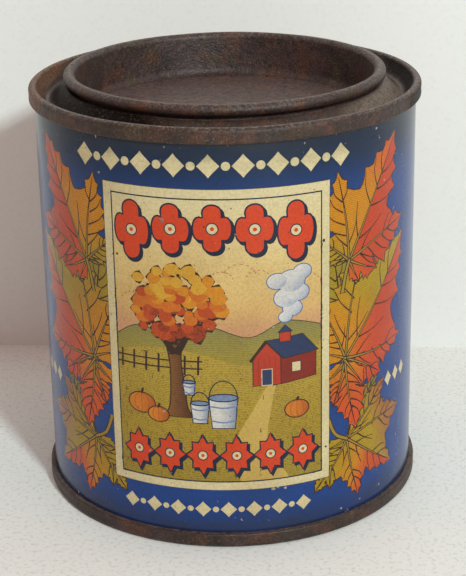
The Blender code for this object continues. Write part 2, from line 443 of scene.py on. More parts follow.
def row_tree():
    """Repeats a motif in a row whose ends grow taller, as under an arch."""
    sockets = [("Count", "Int"), ("Spacing", "Float"), ("Growth", "Float"), ("Finish", "Material")]
    tree, given = new_tree("Repeat in a row", sockets)
    add = functools.partial(node, tree)
    steps = add("ShaderNodeMath", {0: given["Count"], 1: 1.0}, operation="SUBTRACT")
    reach = add("ShaderNodeMath", {0: steps, 1: given["Spacing"]}, operation="MULTIPLY")
    start = add("ShaderNodeMath", {0: reach, 1: -0.5}, operation="MULTIPLY")
    line = {"Start Location": add("ShaderNodeCombineXYZ", {"X": start})}
    line.update({"Count": given["Count"], "Offset": add("ShaderNodeCombineXYZ", {"X": given["Spacing"]})})
    row = add("GeometryNodeMeshLine", line)
    place = add("ShaderNodeSeparateXYZ", {"Vector": add("GeometryNodeInputPosition")})
    share = add("ShaderNodeMath", {0: place, 1: start}, operation="DIVIDE")
    squared = add("ShaderNodeMath", {0: share, 1: share}, operation="MULTIPLY")
    taller = add("ShaderNodeMath", {0: squared, 1: given["Growth"], 2: 1.0}, operation="MULTIPLY_ADD")
    size = add("ShaderNodeCombineXYZ", {"X": 1.0, "Y": taller, "Z": 1.0})
    copies = {"Points": row, "Instance": given["Geometry"], "Scale": size}
    end_tree(tree, add("GeometryNodeInstanceOnPoints", copies), given["Finish"])
    return tree


# Flat print: shapes in millimetres, u along the sheet and z up

HALF_TURN = 38.0 * math.pi / 2
SHEET_BOTTOM = WALL_BOX[0][2] / MM
SHEET_TOP = WALL_BOX[1][2] / MM
COLUMNS = 72
ROWS = 42
KEY_LINE = 0.24
LEAF_KEY = linear("#43200F")
RIB_GOLD = linear("#A8902C")
BARE_MARGIN = 2.6


def fill(outline, ink, rules=0.0, dots=0.0, bare=0.0, cut=True):
    """An ink field. ink is a linear colour, or (start, end, stops) for a graded one."""
    return {
        "kind": "fill", "at": np.array(outline, float), "ink": ink, "litho": (rules, dots, bare), "cut": cut
    }


def stroke(points, width, ink, end_width=None, closed=False, rules=0.0):
    """A line of ink along points, width at its start and end_width at its end."""
    at = np.array(points, float)
    if closed:
        at = np.vstack([at, at[:1]])
    ends = (width, width if end_width is None else end_width)
    reach = np.concatenate([[0], np.cumsum(np.hypot(*np.diff(at, axis=0).T))])
    half = np.interp(reach, (0, max(reach[-1], 1e-9)), ends) / 2
    return {
        "kind": "stroke", "at": at, "half": half, "closed": closed, "ink": ink, "litho": (rules, 0.0, 0.0)
    }


def ink_at(ink, points):
    """The ink's linear colour at each point."""
    if not isinstance(ink[0], (tuple, list)):
        return np.tile(np.array(ink, float), (len(points), 1))
    start, end, stops = ink
    start, run = np.array(start), np.subtract(end, start)
    share = ((points - start) @ run) / (run @ run)
    places = [place for place, _ in stops]
    return np.stack(
        [np.interp(share, places, [tint[channel] for _, tint in stops]) for channel in range(3)], 1
    )


def stroke_sides(at, half, closed):
    """The two sides of a stroke, pushed out along each point's mean normal."""
    steps = np.diff(at, axis=0)
    steps /= np.maximum(np.hypot(*steps.T), 1e-9)[:, None]
    before = np.vstack([steps[-1:] if closed else steps[:1], steps])
    after = np.vstack([steps, steps[:1] if closed else steps[-1:]])
    normal = before + after
    normal = np.stack([-normal[:, 1], normal[:, 0]], 1)
    normal /= np.maximum(np.hypot(*normal.T), 0.35)[:, None]
    return at + normal * half[:, None], at - normal * half[:, None]


def inside(points, outline):
    """Which points lie inside an outline, by the number of turns it makes round them."""
    turns = np.zeros(len(points), int)
    for start, end in zip(outline, np.roll(outline, -1, axis=0)):
        upward = (start[1] <= points[:, 1]) & (end[1] > points[:, 1])
        downward = (start[1] > points[:, 1]) & (end[1] <= points[:, 1])
        if not (upward.any() or downward.any()):
            continue
        side = (end[0] - start[0]) * (
            points[:, 1] - start[1]
        ) - (points[:, 0] - start[0]) * (end[1] - start[1])
        turns += (upward & (side > 0)).astype(int) - (downward & (side < 0)).astype(int)
    return turns != 0


def near(points, at, half):
    """Which points lie within a stroke."""
    found = np.zeros(len(points), bool)
    for index, (start, end) in enumerate(zip(at, at[1:])):
        run = end - start
        share = np.clip(((points - start) @ run) / max(run @ run, 1e-12), 0, 1)
        width = half[index] + (half[index + 1] - half[index]) * share
        found |= np.hypot(*(points - start - share[:, None] * run).T) < width + 0.004
    return found


def cut_edges(fields):
    """Every line that the flat sheet is cut along: its lattice and the edges of the inks."""
    points, edges = [], []

    def chain(line, closed=False):
        first = len(points)
        points.extend(Vector(point) for point in line)
        edges.extend((first + k, first + k + 1) for k in range(len(line) - 1))
        if closed:
            edges.append((first + len(line) - 1, first))

    for u in np.linspace(-HALF_TURN, HALF_TURN, COLUMNS + 1):
        chain([(u, SHEET_BOTTOM), (u, SHEET_TOP)])
    for z in np.linspace(SHEET_BOTTOM, SHEET_TOP, ROWS + 1):
        chain([(-HALF_TURN, z), (HALF_TURN, z)])
    for field in fields:
        if field["kind"] == "fill" and field["cut"]:
            chain(field["at"], closed=True)
        elif field["kind"] == "stroke":
            sides = stroke_sides(field["at"], field["half"], field["closed"])
            if field["closed"]:
                chain(sides[0][:-1], closed=True)
                chain(sides[1][:-1], closed=True)
            else:
                chain(np.vstack([sides[0], sides[1][::-1]]), closed=True)
    return points, edges


def cut_sheet(fields):
    """The flat sheet as triangles that each hold one ink: places, corners, inks and shading."""
    places, _, faces, *_ = delaunay_2d_cdt(*cut_edges(fields), [], 0, 1e-4, False)
    places = np.array([tuple(place) for place in places])
    faces = np.array(faces)
    flat = places[faces]
    area = np.cross(flat[:, 1] - flat[:, 0], flat[:, 2] - flat[:, 0])
    faces, flat = faces[np.abs(area) > 1e-9], flat[np.abs(area) > 1e-9]
    centres = flat.mean(1)
    corners = flat.reshape(-1, 2)
    inks = np.zeros((len(corners), 3))
    litho = np.zeros((len(faces), 3))
    for field in fields:
        reach = field["half"].max() if field["kind"] == "stroke" else 0.0
        low, high = field["at"].min(0) - reach, field["at"].max(0) + reach
        some = np.flatnonzero(((centres >= low) & (centres <= high)).all(1))
        if field["kind"] == "fill":
            some = some[inside(centres[some], field["at"])]
        else:
            some = some[near(centres[some], field["at"], field["half"])]
        if not len(some):
            continue
        spots = (some[:, None] * 3 + np.arange(3)).ravel()
        inks[spots] = ink_at(field["ink"], corners[spots])
        litho[some] = field["litho"]
    return places, faces, inks, np.repeat(litho, 3, axis=0)


def ring_of(centre, radii, count=24, start=0.0, sweep=360.0, shape=None):
    """Points round an ellipse. shape gives each bearing in degrees a share of the radius."""
    around = sweep >= 360.0
    bearings = [start + sweep * k / (count if around else count - 1) for k in range(count)]
    return [
        (
            centre[0] + radii[0] * math.cos(math.radians(b)) * (shape(b) if shape else 1.0),
            centre[1] + radii[1] * math.sin(math.radians(b)) * (shape(b) if shape else 1.0),
        )
        for b in bearings
    ]


def box(left, bottom, right, top):
    return [(left, bottom), (right, bottom), (right, top), (left, top)]


def eased(points, steps=5):
    """A smooth curve through the points (Catmull-Rom)."""
    line = [points[0], *points, points[-1]]
    found = []
    for a, b, c, d in zip(line, line[1:], line[2:], line[3:]):
        for k in range(steps):
            t = k / steps
            found.append(
                tuple(
                    0.5 * (
                        2 * q + (r - p) * t + (
                            2 * p - 5 * q + 4 * r - s
                        ) * t * t + (3 * q - p - 3 * r + s) * t ** 3
                    )
                    for p, q, r, s in zip(a, b, c, d)
                )
            )
    return found + [points[-1]]


# Maple leaves

# One side of a lobe from its notch to its tip: share of the lobe's length, share of width,
# and whether a vein runs to that tooth
LOBE_SIDE = [
    (0.260, 0.150, True),
    (0.320, 0.142, False),
    (0.390, 0.192, True),
    (0.430, 0.148, False),
    (0.510, 0.185, True),
    (0.550, 0.130, False),
    (0.635, 0.155, True),
    (0.675, 0.098, False),
    (0.760, 0.115, True),
    (0.795, 0.064, False),
    (0.875, 0.068, True),
    (0.900, 0.034, False),
]
SHORT_LOBE = 9.0
SHORT_SIDE = LOBE_SIDE[6:10]


def heading(bearing):
    return np.array((math.cos(math.radians(bearing)), math.sin(math.radians(bearing))))


def leaf_outline(joint, lobes, draw, notch):
    """A leaf's outline, the share of it before the main lobe's tip, its veins and its ribs."""

    def depth(place, other):
        """How far from the joint the notch between two lobes lies."""
        gap = abs(lobes[place][0] - lobes[other][0])
        return notch * min(lobes[place][1], lobes[other][1]) * (1.0 if gap < 60 else 0.72)

    outline, veins, ribs, tips = [joint], [], [], []
    outline.append(joint + heading(lobes[0][0] - 34) * lobes[0][1] * 0.30)
    for index, (bearing, size, breadth) in enumerate(lobes):
        along, across = heading(bearing), heading(bearing + 90)
        if index:
            outline.append(joint + heading((lobes[index - 1][0] + bearing) / 2) * depth(index, index - 1))
        ribs.append([joint, joint + along * size * 0.93])
        for side in (-1, 1):
            other, least = index + side, 0.0
            if 0 <= other < len(lobes):
                gap = abs(lobes[other][0] - bearing)
                least = depth(index, other) * math.cos(math.radians(gap / 2)) / size + 0.05
            teeth = SHORT_SIDE if size < SHORT_LOBE else LOBE_SIDE
            for share, width, veined in [tooth for tooth in teeth if tooth[0] > least][::-side]:
                share += draw.uniform(-0.014, 0.014)
                width *= draw.uniform(0.90, 1.12)
                tooth = joint + size * (along * share + across * side * width * breadth)
                outline.append(tooth)
                if veined and size >= SHORT_LOBE:
                    root = joint + along * size * (share - 0.22)
                    veins.append([root, root + (tooth - root) * 0.88, across * side * 0.10 * size])
            if side < 0:
                tips.append(len(outline))
                outline.append(joint + along * size)
        # Where the lobe is broad, short veins fill the leaf towards the notches
        for side in (-1, 1) if size >= SHORT_LOBE else ():
            root = joint + along * size * 0.16
            end = joint + size * (along * 0.40 + across * side * 0.115 * breadth)
            veins.append([root, end, across * side * 0.05 * size])
    outline.append(joint + heading(lobes[-1][0] + 34) * lobes[-1][1] * 0.30)
    return outline, veins, ribs, tips


def maple_leaf(joint, lobes, inks, stem=None, seed=0, main=0, notch=0.60, rules=0.40):
    """A leaf of pointed, toothed lobes, each (bearing in degrees, length, breadth), from its joint.

    The lobes come in order of their bearing, and the leaf closes back to the joint between the
    last and the first. inks are the far side's and the near side's, which meet along the rib of
    the lobe numbered main.
    """
    draw = random.Random(seed)
    joint = np.array(joint, float)
    outline, veins, ribs, tips = leaf_outline(joint, lobes, draw, notch)
    bowed = []
    centre = np.mean(outline, axis=0)
    for start, end in zip(outline, outline[1:] + outline[:1]):
        middle = (start + end) / 2
        inward = (centre - middle) / max(np.hypot(*(centre - middle)), 1e-6)
        bowed += [start, middle + inward * 0.09 * np.hypot(*(end - start))]
    near_side = bowed[: 2 * tips[main] + 1]
    fields = [fill(bowed, inks[1], rules=rules, cut=False), fill(near_side, inks[0], rules=rules)]
    fields.append(stroke(bowed, KEY_LINE, LEAF_KEY, closed=True))
    for start, end, bend in veins:
        path = eased([start, (start + end) / 2 + bend * 0.35, end], 4)
        fields.append(stroke(path, 0.34, LEAF_KEY, end_width=0.14))
    for number, (start, end) in enumerate(ribs):
        bend = np.array((0.03, 0.04)) * (end - start)[::-1] * (-1) ** number
        path = eased([start, (start + end) / 2 + bend, end], 4)
        fields.append(stroke(path, 0.78, LEAF_KEY, end_width=0.16))
        fields.append(stroke(path[:-3], 0.34, RIB_GOLD, end_width=0.10))
    if stem is not None:
        path = eased([tuple(joint), *stem], 4)
        fields.append(stroke(path, 0.95, LEAF_KEY, end_width=1.1))
        fields.append(stroke(path, 0.50, RIB_GOLD, end_width=0.62))
    return fields


def mirrored(fields, centre=0.0):
    """The same fields mirrored left to right."""
    turned_over = []
    for field in fields:
        other = dict(field)
        other["at"] = field["at"] * (-1, 1) + (2 * centre, 0)
        if isinstance(field["ink"][0], (tuple, list)):
            start, end, stops = field["ink"]
            other["ink"] = ((2 * centre - start[0], start[1]), (2 * centre - end[0], end[1]), stops)
        turned_over.append(other)
    return turned_over


def leaf_spray(colours):
    """The spray of autumn leaves that comes out from behind the right edge of the panel."""
    orange, red, olive = (tuple(c) for c in (colours.leaf_orange, colours.leaf_red, colours.leaf_olive))
    flame, brown = linear("#E2641A"), linear("#B4702A")
    # Each ink is graded between two places on the sheet
    warm = ((27, 56), (38, 76), [(0.0, olive), (0.22, orange), (0.60, orange), (1.0, flame)])
    crimson = ((27, 56), (36, 60), [(0.0, flame), (0.5, red), (1.0, red)])
    golden = ((24, 36), (34, 55), [(0.0, orange), (0.35, orange), (0.75, olive), (1.0, olive)])
    blaze = ((25, 37), (34, 36), [(0.0, orange), (0.45, flame), (1.0, red)])
    fiery = ((25, 36), (29, 22), [(0.0, orange), (0.45, flame), (1.0, linear("#EE5A1C"))])
    autumn = ((26, 19), (41, 25), [(0.0, olive), (0.40, olive), (0.75, brown), (1.0, brown)])
    foot = ((24, 17), (37, 11), [(0.0, olive), (0.42, orange), (0.60, flame), (1.0, red)])
    green = ((24, 30), (34, 32), [(0.0, olive), (1.0, linear("#8E8A30"))])
    fields = []
    small = [(-95, 9.0, 1.3), (-40, 7.5, 1.4), (8, 9.5, 1.3), (52, 11.0, 1.2), (80, 8.5, 1.3)]
    fields += maple_leaf((28.6, 22.8), small, (green, green), seed=5, main=2)
    lower = [
        (-168, 6.0, 1.6), (-124, 11.5, 1.6), (-77, 13.8, 1.5), (-35, 17.5, 1.5), (6, 17.5, 1.6),
        (41, 15.0, 1.2)
    ]
    stem = [(23.6, 21.0), (22.0, 24.6)]
    fields += maple_leaf((26.5, 19.2), lower, (foot, autumn), stem, 11, main=3, notch=0.70)
    behind = [(20, 13.0, 1.6), (58, 19.5, 1.5), (95, 17.5, 1.7), (125, 9.0, 1.8)]
    fields += maple_leaf((24.6, 41.5), behind, (green, green), seed=19, main=2, notch=0.8)
    middle = [
        (-30, 12.0, 2.0), (0, 18.0, 1.6), (49, 28.6, 1.5), (80, 22.5, 1.7), (116, 15.0, 1.6),
        (160, 7.0, 2.2)
    ]
    stem = [(24.2, 34.6), (22.0, 32.4)]
    fields += maple_leaf((26.0, 36.5), middle, (blaze, golden), stem, 7, main=2, notch=0.84)
    hanging = [(-140, 7.0, 1.8), (-108, 9.5, 1.6), (-79, 15.8, 1.5), (-52, 8.6, 1.7)]
    fields += maple_leaf((25.9, 36.0), hanging, (fiery, fiery), seed=3, main=2, notch=0.74)
    upper = [
        (-62, 5.6, 2.0), (-24, 8.4, 2.4), (16, 18.0, 1.6), (59, 26.8, 1.3), (99, 18.2, 1.4), (142, 9.0, 1.8)
    ]
    stem = [(26.0, 54.0), (25.2, 50.4)]
    fields += maple_leaf((26.8, 56.3), upper, (crimson, warm), stem, 2, main=3, notch=0.76)
    sprig = [(-160, 5.2, 1.6), (-128, 6.4, 1.5), (-92, 5.0, 1.6)]
    fields += maple_leaf((22.6, 14.2), sprig, (green, green), seed=23, main=1)
    return fields


# Rows of ornaments


def row_of(motif, count, spacing, growth, middle, level):
    """Outlines of a motif repeated by Geometry Nodes, placed about (middle, level)."""
    mesh = bpy.data.meshes.new("motif")
    mesh.from_pydata([(u, z, 0.0) for u, z in motif], [], [list(range(len(motif)))])
    holder = bpy.data.objects.new("motif", mesh)
    bpy.context.scene.collection.objects.link(holder)
    tree = bpy.data.node_groups.get("Repeat in a row") or row_tree()
    values = {"Count": count, "Spacing": spacing, "Growth": growth}
    shaped_by(holder, tree, values)
    outlines = [
        [
            (
                holder.data.vertices[k].co.x + middle, holder.data.vertices[k].co.y + level
            ) for k in face.vertices
        ]
        for face in holder.data.polygons
    ]
    finished = holder.data
    bpy.data.objects.remove(holder)
    bpy.data.meshes.remove(finished)
    return outlines


def floret(width, height):
    """A floret of four round petals with points between them, hung from its top edge."""

    def petal(bearing):
        turn = 2 * math.radians(bearing)
        return 0.80 + 0.20 * abs(math.cos(turn)) ** 0.5 - 0.13 * abs(math.sin(turn)) ** 12

    return ring_of((0, -height / 2), (width / 2, height / 2), 48, shape=petal)


def lozenge_star(width, height):
    """A long-pointed star of eight points, hung from its top edge."""
    shares = (1.0, 0.66, 0.90, 0.66)
    return ring_of(
        (0, -height / 2), (width / 2, height / 2), 16, shape=lambda b: shares[round(b / 22.5) % 4]
    )


def lozenge(width, height):
    return [
        (-width / 2, 0), (-width * 0.12, -height * 0.36), (0, -height / 2), (width * 0.12, -height * 0.36),
        (width / 2, 0)
    ] + [
        (width * 0.12, height * 0.36), (0, height / 2), (-width * 0.12, height * 0.36)
    ]


def ornaments(colours):
    """Rows of red ornaments with dropped shadows in the panel, and cream rows outside it."""
    red, navy, cream = (tuple(c) for c in (colours.vermilion, colours.navy, colours.cream))
    fields = []
    rows = [
        (floret(7.3, 9.2), 5, 7.85, 0.25, -0.5, 70.2, 1.0),
        (lozenge_star(6.5, 8.8), 6, 6.55, 0.0, 0.0, 24.0, 0.85),
    ]
    for motif, count, spacing, growth, middle, level, eye in rows:
        outlines = row_of(motif, count, spacing, growth, middle, level)
        for outline in outlines:
            at = np.array(outline)
            fields.append(fill(at + (0.42, -0.48), navy))
            fields.append(stroke(at + (0.42, -0.48), 0.35, navy, closed=True))
            fields.append(fill(at, red, rules=0.12, cut=False))
            fields.append(stroke(at, 0.34, navy, closed=True))
            heart = at.mean(0)
            fields.append(fill(ring_of(heart, (eye + 0.22, eye + 0.22), 16), navy))
            fields.append(fill(ring_of(heart, (eye, eye), 16), cream))
            fields.append(fill(ring_of(heart, (eye * 0.4, eye * 0.4), 10), red))
    borders = [
        (lozenge(4.2, 4.5), 9, 6.4, -1.0, 77.5),
        (ring_of((0, 0), (0.85, 0.85), 14), 8, 6.4, -1.0, 77.5),
        (lozenge(3.2, 3.3), 8, 5.0, -1.0, 8.0),
        (ring_of((0, 0), (0.62, 0.62), 12), 7, 5.0, -1.0, 8.0),
        (lozenge(2.5, 3.3), 3, 3.2, 42.4, 28.0),
        (lozenge(2.5, 3.3), 3, 3.2, -44.2, 28.0),
    ]
    for motif, count, spacing, middle, level in borders:
        for outline in row_of(motif, count, spacing, 0.0, middle, level):
            fields.append(fill(outline, cream))
    return fields


# Picture in the panel

PICTURE = (-20.4, 14.0, 20.4, 71.2)


def cloud(middle, level, sizes, ink):
    """A heap of cloud drawn as dotted arcs."""
    fields = []
    for offset, rise, radius in sizes:
        arc = ring_of((middle + offset, level + rise), (radius, radius * 0.8), 15, 8, 164)
        for start in range(0, len(arc) - 1, 2):
            fields.append(stroke(arc[start : start + 2], 0.16, ink))
    return fields


def crown(middle, level, spread, count, inks, key, seed):
    """A tree's crown as a heap of leafy tufts, darker below."""
    draw = random.Random(seed)
    tufts = []
    for _ in range(count):
        bearing, reach = draw.uniform(0, math.tau), math.sqrt(draw.uniform(0, 1))
        at = (middle + spread[0] * reach * math.cos(bearing), level + spread[1] * reach * math.sin(bearing))
        tufts.append((at, draw.uniform(0.9, 1.7)))
    fields = []
    for at, size in tufts:
        fields.append(
            fill(
                ring_of(at, (size + 0.22, size + 0.18), 10, shape=lambda b: 0.9 + 0.14 * math.sin(5 * b)),
                key
            )
        )
    for at, size in sorted(tufts, key=lambda tuft: tuft[0][1]):
        lift = (at[1] - level) / spread[1] * 0.5 + 0.5 + draw.uniform(-0.25, 0.25)
        ink = inks[min(len(inks) - 1, max(0, int(lift * len(inks))))]
        shape = [0.86 + draw.uniform(0, 0.2) for _ in range(11)]
        outline = ring_of(at, (size, size * 0.85), 11, shape=lambda b: shape[round(b / 360 * 11) % 11])
        fields.append(fill(outline, ink, dots=max(0.0, 0.75 - lift)))
    return fields


def pail(middle, foot, width, height, key):
    """A coopered sap pail with a bail handle, in white shaded blue."""
    white, blue = linear("#E4E6E0"), linear("#7C93B8")
    half, base = width / 2, width * 0.39
    sides = [
        (middle - base, foot), (middle + base, foot), (middle + half, foot + height),
        (middle - half, foot + height)
    ]
    shade = ((middle - half, 0), (middle + half, 0), [(0.0, white), (0.45, white), (1.0, blue)])
    fields = [fill(sides, shade, rules=0.18), stroke(sides, 0.26, key, closed=True)]
    fields.append(fill(ring_of((middle, foot + height), (half, width * 0.14), 18), blue))
    fields.append(
        stroke(ring_of((middle, foot + height), (half, width * 0.14), 18), 0.24, key, closed=True)
    )
    for share in (0.25, 0.72):
        reach = base + (half - base) * share
        line = [
            (middle - reach, foot + height * share), (middle, foot + height * share - 0.35),
            (middle + reach, foot + height * share)
        ]
        fields.append(stroke(eased(line, 4), 0.32, blue))
    handle = ring_of((middle, foot + height), (half * 0.96, height * 0.55), 14, 0, 180)
    fields.append(stroke(handle, 0.22, key))
    return fields


def sugar_house(left, foot, key, colours):
    """A red boarded house with a navy roof and steam from its louvred cupola."""
    red, dim = linear("#C23C20"), linear("#8E2A1A")
    cream, roof = tuple(colours.cream), linear("#2A3C66")
    fields = []
    front = [
        (left, foot), (left + 5.4, foot), (left + 5.4, foot + 5.6), (left + 2.7, foot + 8.6),
        (left, foot + 5.6)
    ]
    side = [
        (left + 5.4, foot), (left + 12.6, foot + 0.8), (left + 12.6, foot + 6.2), (left + 5.4, foot + 5.6)
    ]
    top = [
        (left + 2.4, foot + 9.1), (left + 5.9, foot + 5.2), (left + 13.1, foot + 5.9),
        (left + 9.8, foot + 9.7)
    ]
    fields += [fill(side, dim, rules=0.2), stroke(side, 0.24, key, closed=True)]
    fields += [fill(front, red, rules=0.1), stroke(front, 0.24, key, closed=True)]
    fields += [fill(top, roof, rules=0.3), stroke(top, 0.24, key, closed=True)]
    fields.append(stroke([(left - 0.5, foot + 5.0), (left + 2.55, foot + 9.0)], 0.6, key))
    for k in range(1, 5):
        fields.append(stroke([(left + 1.08 * k, foot + 0.3), (left + 1.08 * k, foot + 5.6)], 0.10, dim))
    fields += [
        fill(box(left + 1.7, foot, left + 3.7, foot + 3.3), roof),
        stroke(box(left + 1.7, foot, left + 3.7, foot + 3.3), 0.2, cream, closed=True)
    ]
    fields += [
        fill(box(left + 7.6, foot + 2.2, left + 9.4, foot + 4.2), cream),
        stroke(box(left + 7.6, foot + 2.2, left + 9.4, foot + 4.2), 0.2, key, closed=True)
    ]
    cupola = box(left + 5.2, foot + 8.6, left + 7.4, foot + 10.6)
    fields += [fill(cupola, red), stroke(cupola, 0.22, key, closed=True)]
    cap = [(left + 4.8, foot + 10.5), (left + 7.8, foot + 10.5), (left + 6.3, foot + 12.0)]
    fields += [fill(cap, roof), stroke(cap, 0.2, key, closed=True)]
    return fields


def steam(start, key):
    """Puffs of white and blue steam drifting up to the left."""
    fields = []
    puffs = [
        (0.0, 1.0, 1.3), (1.4, 2.6, 1.9), (0.2, 4.8, 2.4), (2.6, 5.6, 2.1), (1.2, 8.0, 2.7),
        (-1.6, 8.2, 1.9), (3.4, 9.6, 1.8)
    ]
    for across, up, size in puffs:
        fields.append(
            fill(
                ring_of((start[0] + across, start[1] + up), (size + 0.2, size * 0.8 + 0.2), 18),
                linear("#5C7AAE")
            )
        )
    for across, up, size in puffs:
        at = (start[0] + across, start[1] + up)
        shade = (
            (at[0] - size, at[1] + size), (at[0] + size, at[1] - size),
            [(0.0, linear("#ECEBE2")), (0.5, linear("#DADFE0")), (1.0, linear("#90A7CC"))]
        )
        fields.append(fill(ring_of(at, (size, size * 0.8), 18), shade, dots=0.12))
    return fields


def pumpkin(middle, foot, size, key):
    light, deep = linear("#E08A24"), linear("#B85A1A")
    centre = (middle, foot + size * 0.72)
    shade = ((middle - size, 0), (middle + size, 0), [(0.0, light), (0.4, light), (1.0, deep)])
    fields = [fill(ring_of(centre, (size, size * 0.74), 20), shade, dots=0.25)]
    fields.append(stroke(ring_of(centre, (size, size * 0.74), 20), 0.24, key, closed=True))
    for share in (-0.55, 0.0, 0.55):
        rib = ring_of(centre, (size * share, size * 0.70), 9, 90, -180) if share else [
            (middle, foot + 0.1), (middle, foot + size * 1.4)
        ]
        fields.append(stroke(rib, 0.15, deep))
    fields.append(stroke([(middle, foot + size * 1.4), (middle + 0.3, foot + size * 1.4 + 0.8)], 0.5, key))
    return fields


def picture(colours):
    """Sugaring time: a maple, a sugar house, pails and pumpkins before low hills."""
    left, bottom, right, top = PICTURE
    cream, ochre, navy = (tuple(c) for c in (colours.cream, colours.ochre, colours.navy))
    key = linear("#3A2418")
    sky = (
        (0, 42), (0, top),
        [
            (0.0, linear("#D29C7A")), (0.14, linear("#D8A878")), (0.26, linear("#E4C079")),
            (0.50, linear("#E9CF88")), (0.75, linear("#EAD79B")), (1.0, cream)
        ]
    )
    fields = [fill(box(left, bottom, right, top), sky, dots=0.16)]
    blush = linear("#C07A50")
    fields += cloud(-13.0, 50.0, [(-3.4, 0, 2.6), (0, 1.0, 3.6), (4.0, 0, 2.8)], blush)
    fields += cloud(3.6, 55.5, [(-2.6, 0, 2.2), (0.8, 0.8, 3.0), (4.2, 0, 2.3)], blush)
    fields += cloud(17.0, 52.5, [(-2.4, 0, 2.0), (0.6, 0.8, 2.7)], blush)
    hills = eased(
        [(left, 43.0), (-15.5, 45.6), (-9.0, 44.2), (-2.0, 46.4), (6.0, 44.0), (13.0, 46.8), (right, 45.0)],
        6
    )
    far = ((0, 40), (0, 47), [(0.0, linear("#AEA040")), (1.0, linear("#949258"))])
    fields.append(fill(hills + [(right, bottom), (left, bottom)], far, rules=0.35, dots=0.3))
    fields.append(stroke(hills, 0.16, key))
    rise = eased([(left, 39.8), (-12.0, 41.6), (-3.0, 40.6), (5.0, 38.4), (13.0, 39.6), (right, 41.6)], 6)
    near_field = ((0, bottom), (0, 41), [(0.0, linear("#B09A34")), (0.45, ochre), (1.0, linear("#C8B046"))])
    fields.append(fill(rise + [(right, bottom), (left, bottom)], near_field, rules=0.38, dots=0.60))
    track = eased([(4.0, bottom), (3.0, 22), (6.5, 29), (9.6, 34.4)], 6) + eased(
        [(11.2, 34.4), (10.0, 29), (9.5, 22), (13.5, bottom)], 6
    )
    fields.append(fill(track, linear("#D2B65E"), dots=0.25))
    for k in range(7):
        u = left + 1.0 + 2.6 * k
        fields.append(stroke([(u, 36.4), (u + 0.15, 40.2)], 0.42, key))
    for z in (37.4, 38.9):
        fields.append(stroke([(left, z), (left + 17.5, z + 0.3)], 0.30, key))
    fields += steam((13.0, 46.6), navy)
    fields += sugar_house(6.6, 34.0, key, colours)
    trunk = eased([(-10.9, 27.4), (-9.6, 29.4), (-9.2, 34), (-9.3, 39), (-10.4, 45)], 5)
    trunk += eased([(-6.6, 45), (-7.0, 39), (-6.4, 34), (-5.9, 29.4), (-4.4, 27.4)], 5)
    bark = (
        (-10, 0), (-5, 0), [(0.0, linear("#9A6A34")), (0.5, linear("#7A4E26")), (1.0, linear("#54341C"))]
    )
    fields += [fill(trunk, bark, rules=0.4), stroke(trunk, 0.26, key, closed=True)]
    limbs = [
        [(-8.6, 41), (-12.0, 46), (-15.0, 50)], [(-7.6, 41), (-4.2, 46.5), (-1.2, 49)],
        [(-8.2, 43), (-8.4, 50), (-7.4, 55)]
    ]
    for limb in limbs:
        fields.append(stroke(eased(limb, 4), 1.5, key, end_width=0.4))
    inks = [linear(c) for c in ("#A2401C", "#C5501C", "#D9781E", "#E0961F", "#E6B43A")]
    fields += crown(-8.0, 50.6, (9.6, 7.0), 95, inks, key, 21)
    fields += pail(-5.6, 32.2, 2.5, 2.7, navy)
    fields += pail(0.9, 25.4, 5.6, 6.4, navy)
    fields += pail(-3.6, 26.4, 3.6, 4.2, navy)
    fields += pumpkin(-15.4, 27.4, 2.9, key) + pumpkin(-11.9, 26.0, 2.2, key)
    fields += pumpkin(15.2, 26.6, 2.5, key)
    draw = random.Random(9)
    for _ in range(46):
        u, z = draw.uniform(left + 0.6, right - 0.6), draw.uniform(bottom + 0.6, 36)
        tall = draw.uniform(0.5, 1.1)
        fields.append(
            stroke(
                [(u, z), (u + draw.uniform(-0.4, 0.4), z + tall)], 0.18, linear("#5E4A18"), end_width=0.08
            )
        )
    return fields


# Wear that the photograph shows, as (u, z, size)
CHIPS = [
    (10.3, 11.9, 0.50), (11.2, 12.1, 0.30), (12.7, 11.8, 0.42), (25.2, 4.2, 0.32), (30.2, 4.6, 0.26),
    (33.9, 80.6, 0.36), (34.9, 78.6, 0.24), (36.7, 69.9, 0.30), (-19.8, 13.0, 0.34), (-22.0, 33.5, 0.25),
]
SPECKS = [
    (-7.1, 56.3, 0.40), (-13.2, 54.0, 0.32), (20.9, 61.5, 0.36), (-19.6, 59.1, 0.30), (21.4, 18.9, 0.28),
    (-2.0, 66.0, 0.2)
]


